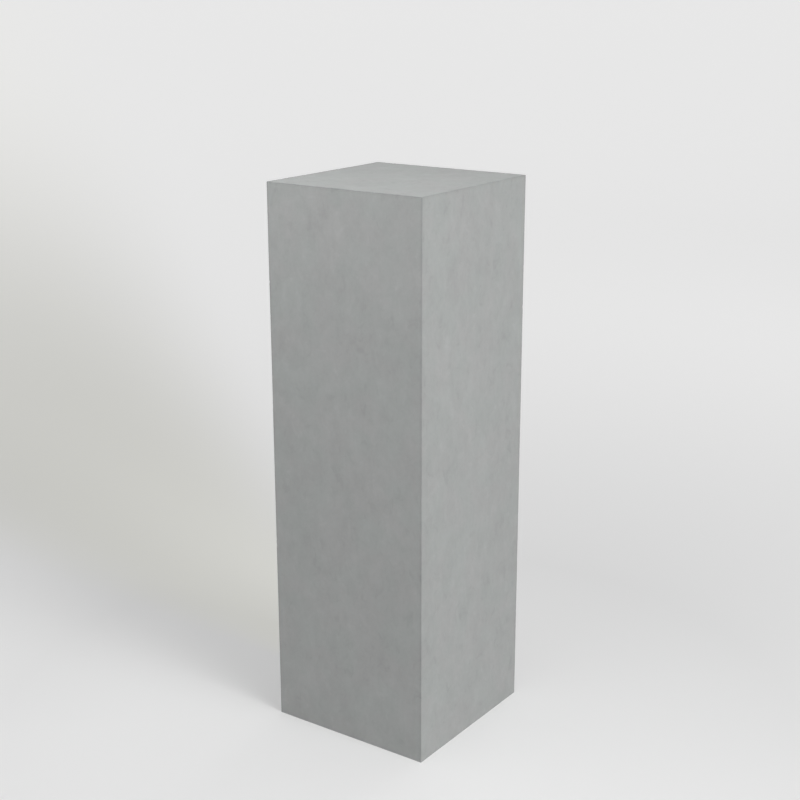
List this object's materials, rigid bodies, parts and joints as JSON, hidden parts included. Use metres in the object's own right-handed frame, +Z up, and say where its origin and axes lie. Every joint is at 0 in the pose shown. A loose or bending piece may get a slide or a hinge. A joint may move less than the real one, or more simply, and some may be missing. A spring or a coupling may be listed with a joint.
{
  "type": "pedestal column stand",
  "caption": "Tall square pedestal column with a flat display top, trowelled cement faces over board walls, and levelling feet in a recessed base.",
  "frame": {"origin": "middle of the square footprint, on the plane of the rim that stands on the floor", "axes": "+Z up the column, -Y out of the front face, +X out of the right face"},
  "size_m": [0.32, 0.32, 1],
  "materials": {
    "cement_facing": "matte",
    "fibreboard": "matte",
    "plywood": "matte",
    "softwood": "matte",
    "zinc_plated_steel": "satin",
    "screw_steel": "satin",
    "black_nylon": "matte",
    "rubber_sole": "matte"
  },
  "bodies": {
    "root": {"facing_front": "cement_facing", "facing_right": "cement_facing", "facing_back": "cement_facing", "facing_left": "cement_facing", "facing_top": "cement_facing", "board_front": "fibreboard", "board_right": "fibreboard", "board_back": "fibreboard", "board_left": "fibreboard", "board_top": "fibreboard", "base_panel": "plywood", "brace_panel": "fibreboard", "corner_batten_1": "softwood", "corner_batten_2": "softwood", "corner_batten_3": "softwood", "corner_batten_4": "softwood", "top_cleat_front": "softwood", "top_cleat_right": "softwood", "top_cleat_back": "softwood", "top_cleat_left": "softwood", "base_cleat_front": "softwood", "base_cleat_right": "softwood", "base_cleat_back": "softwood", "base_cleat_left": "softwood", "brace_cleat_right": "softwood", "brace_cleat_left": "softwood", "insert_nut_1": "zinc_plated_steel", "insert_nut_2": "zinc_plated_steel", "insert_nut_3": "zinc_plated_steel", "insert_nut_4": "zinc_plated_steel", "base_screw_1": "screw_steel", "base_screw_2": "screw_steel", "base_screw_3": "screw_steel", "base_screw_4": "screw_steel", "base_screw_5": "screw_steel", "base_screw_6": "screw_steel", "base_screw_7": "screw_steel", "base_screw_8": "screw_steel", "top_screw_1": "screw_steel", "top_screw_2": "screw_steel", "top_screw_3": "screw_steel", "top_screw_4": "screw_steel", "brace_screw_1": "screw_steel", "brace_screw_2": "screw_steel", "brace_screw_3": "screw_steel", "brace_screw_4": "screw_steel"},
    "foot_1": {"foot_pad_1": "black_nylon", "foot_sole_1": "rubber_sole"},
    "foot_2": {"foot_pad_2": "black_nylon", "foot_sole_2": "rubber_sole"},
    "foot_3": {"foot_pad_3": "black_nylon", "foot_sole_3": "rubber_sole"},
    "foot_4": {"foot_pad_4": "black_nylon", "foot_sole_4": "rubber_sole"},
    "stud_1": {"foot_stud_1": "zinc_plated_steel"},
    "stud_2": {"foot_stud_2": "zinc_plated_steel"},
    "stud_3": {"foot_stud_3": "zinc_plated_steel"},
    "stud_4": {"foot_stud_4": "zinc_plated_steel"}
  },
  "joints": [
    {"name": "foot_1_travel", "type": "slide", "parent": "root", "child": "foot_1", "axis": [0, 0, -1], "range_m": [0, 0.01]},
    {"name": "foot_1_turn", "type": "hinge", "parent": "foot_1", "child": "stud_1", "pos_m": [-0.106, -0.106, 0.02], "axis": [0, 0, -1], "range_deg": [0, 2880]},
    {"name": "foot_2_travel", "type": "slide", "parent": "root", "child": "foot_2", "axis": [0, 0, -1], "range_m": [0, 0.01]},
    {"name": "foot_2_turn", "type": "hinge", "parent": "foot_2", "child": "stud_2", "pos_m": [0.106, -0.106, 0.02], "axis": [0, 0, -1], "range_deg": [0, 2880]},
    {"name": "foot_3_travel", "type": "slide", "parent": "root", "child": "foot_3", "axis": [0, 0, -1], "range_m": [0, 0.01]},
    {"name": "foot_3_turn", "type": "hinge", "parent": "foot_3", "child": "stud_3", "pos_m": [0.106, 0.106, 0.02], "axis": [0, 0, -1], "range_deg": [0, 2880]},
    {"name": "foot_4_travel", "type": "slide", "parent": "root", "child": "foot_4", "axis": [0, 0, -1], "range_m": [0, 0.01]},
    {"name": "foot_4_turn", "type": "hinge", "parent": "foot_4", "child": "stud_4", "pos_m": [-0.106, 0.106, 0.02], "axis": [0, 0, -1], "range_deg": [0, 2880]}
  ],
  "couplings": [
    {"joint": "foot_1_travel", "follows": "foot_1_turn", "m_per_rad": 0.00019894},
    {"joint": "foot_2_travel", "follows": "foot_2_turn", "m_per_rad": 0.00019894},
    {"joint": "foot_3_travel", "follows": "foot_3_turn", "m_per_rad": 0.00019894},
    {"joint": "foot_4_travel", "follows": "foot_4_turn", "m_per_rad": 0.00019894}
  ]
}
